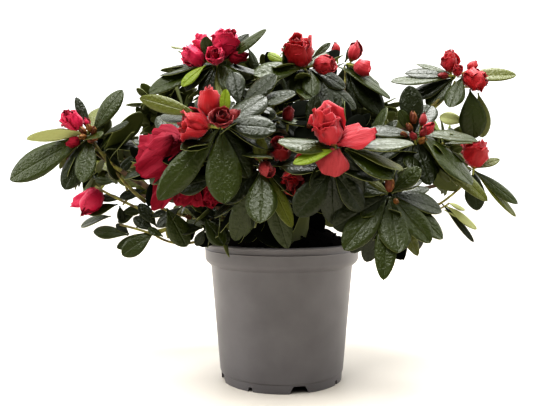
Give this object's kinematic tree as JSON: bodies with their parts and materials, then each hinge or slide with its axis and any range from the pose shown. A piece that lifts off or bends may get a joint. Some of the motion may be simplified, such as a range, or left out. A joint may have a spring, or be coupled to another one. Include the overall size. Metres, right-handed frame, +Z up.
{
  "type": "potted azalea shrub",
  "caption": "Flowering evergreen azalea: a short forked trunk, boughs and masses of foliage, on its root ball in a round plastic pot.",
  "frame": {"origin": "middle of the pot's foot, on the level that the pot stands on", "axes": "+Z up along the pot's axis; +X to the right and -Y towards the viewer who faces the crown's front; the crown is widest along X"},
  "size_m": [0.401, 0.316, 0.273],
  "materials": {
    "pot": "grey moulded polypropylene, fine matte grain",
    "peat": "dark fibrous potting peat, crumbly",
    "bark": "thin grey-brown bark, lightly fissured",
    "foliage": "glossy dark green evergreen leaves",
    "blossom": "soft ruffled petals, satin"
  },
  "bodies": {
    "root": {"pot": "pot", "root_ball": "peat", "trunk": "bark", "bough_left": "bark", "bough_low_left": "bark", "bough_front_left": "bark", "bough_top_left": "bark", "bough_top_middle": "bark", "bough_front_right": "bark", "bough_right": "bark", "bough_right_top": "bark", "bough_right_low": "bark", "bough_back_right": "bark", "bough_back": "bark", "bough_back_left": "bark", "limb_left_low": "bark", "limb_left_bloom": "bark", "limb_front_low_left": "bark", "limb_middle": "bark", "limb_front_middle": "bark", "limb_front_low_right": "bark", "limb_top_right": "bark", "limb_right_tip": "bark", "limb_back_left_top": "bark", "limb_back_right_top": "bark", "limb_back_top": "bark", "limb_back_low_left": "bark", "limb_back_low_right": "bark", "limb_far_left": "bark", "limb_far_right": "bark", "foliage_left_tip": "foliage", "foliage_left_low": "foliage", "foliage_left_spray": "foliage", "foliage_left_bloom": "foliage", "foliage_front_left": "foliage", "foliage_top_left": "foliage", "foliage_top_middle": "foliage", "foliage_top_right": "foliage", "foliage_middle": "foliage", "foliage_front_middle": "foliage", "foliage_front_right": "foliage", "foliage_front_low_right": "foliage", "foliage_right": "foliage", "foliage_right_top": "foliage", "foliage_right_tip": "foliage", "foliage_right_low": "foliage", "foliage_front_low_left": "foliage", "foliage_back_left_top": "foliage", "foliage_back_right_top": "foliage", "foliage_back_top": "foliage", "foliage_back_left": "foliage", "foliage_back_middle": "foliage", "foliage_back_right": "foliage", "foliage_back_low_left": "foliage", "foliage_back_low_right": "foliage", "foliage_far_left": "foliage", "foliage_far_right": "foliage"}
  },
  "joints": []
}
